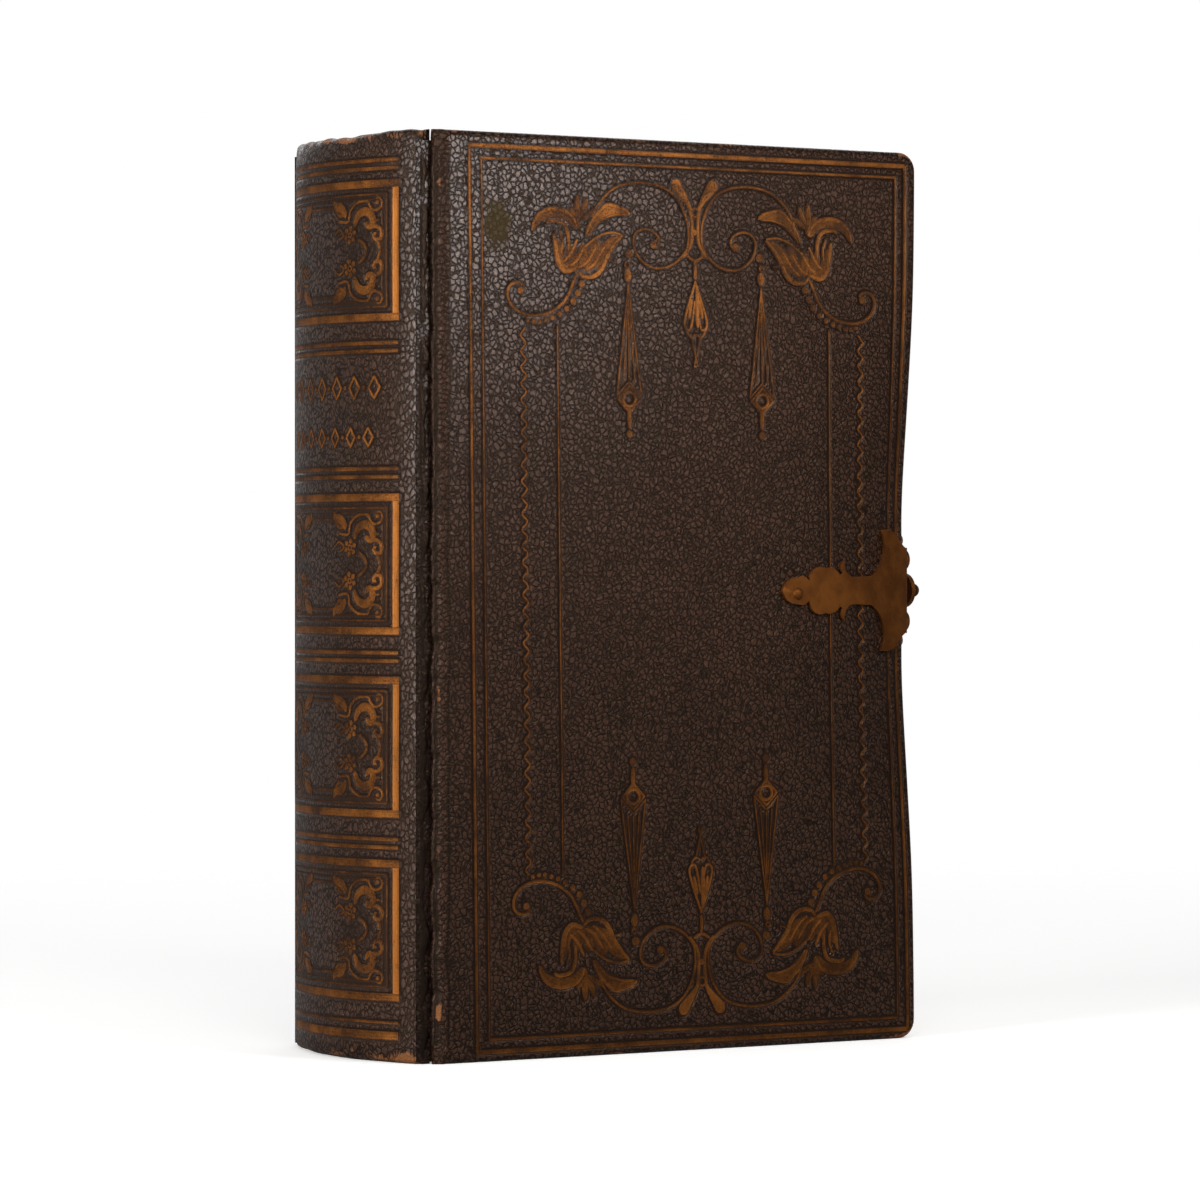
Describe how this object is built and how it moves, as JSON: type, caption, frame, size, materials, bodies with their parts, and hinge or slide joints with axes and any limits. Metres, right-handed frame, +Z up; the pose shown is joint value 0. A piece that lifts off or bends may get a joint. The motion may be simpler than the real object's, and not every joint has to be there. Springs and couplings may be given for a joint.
{
  "type": "antique leather book with clasp",
  "caption": "Small thick book bound in pebbled brown leather, with a rounded gilt spine, gilt borders on its covers and a hinged brass clasp at the fore-edge.",
  "frame": {"origin": "middle of the box round the book, on the surface that it stands on", "axes": "+Z up along the spine, +X from the spine to the fore-edge, -Y out of the front cover"},
  "size_m": [0.0852, 0.0382, 0.12],
  "materials": {
    "leaves": "aged, matt, plain cut edges",
    "endpaper": "aged, matt, lightly foxed",
    "hemp": "twisted hemp cord",
    "mull": "open cotton cloth under glued paper",
    "silk": "striped silk over a cord, faded",
    "card": "grey-brown millboard",
    "morocco": "dark brown pebble-grained goatskin, semi-gloss, worn at the joints and edges",
    "gilt": "rubbed gold leaf, dulled to orange-brown",
    "clasp_brass": "thin stamped brass with a dark warm patina"
  },
  "bodies": {
    "book_block": {"text_block": "leaves", "front_flyleaf": "endpaper", "back_flyleaf": "endpaper", "sewing_cords": "hemp", "spine_lining": "mull", "head_band": "silk", "tail_band": "silk", "spine_inlay": "card", "spine_leather": "morocco", "spine_gilding": "gilt"},
    "front_cover": {"front_board": "card", "front_cover_leather": "morocco", "front_pastedown": "endpaper", "front_gilding": "gilt", "front_clasp_plate": "clasp_brass", "front_clasp_rivet": "clasp_brass"},
    "back_cover": {"back_board": "card", "back_cover_leather": "morocco", "back_pastedown": "endpaper", "back_gilding": "gilt", "back_clasp_plate": "clasp_brass", "back_clasp_rivet": "clasp_brass", "hasp_pin": "clasp_brass"},
    "hasp": {"hasp": "clasp_brass", "hasp_knob": "clasp_brass"}
  },
  "joints": [
    {"name": "front_joint", "type": "hinge", "parent": "book_block", "child": "front_cover", "pos_m": [-0.0362, -0.0182, 0.06], "axis": [0, 0, -1], "range_deg": [0, 170]},
    {"name": "back_joint", "type": "hinge", "parent": "book_block", "child": "back_cover", "pos_m": [-0.0362, 0.0182, 0.06], "axis": [0, 0, 1], "range_deg": [0, 170]},
    {"name": "hasp_hinge", "type": "hinge", "parent": "back_cover", "child": "hasp", "pos_m": [0.04035, 0.014, 0.0607], "axis": [0, 0, 1], "range_deg": [0, 175]}
  ]
}
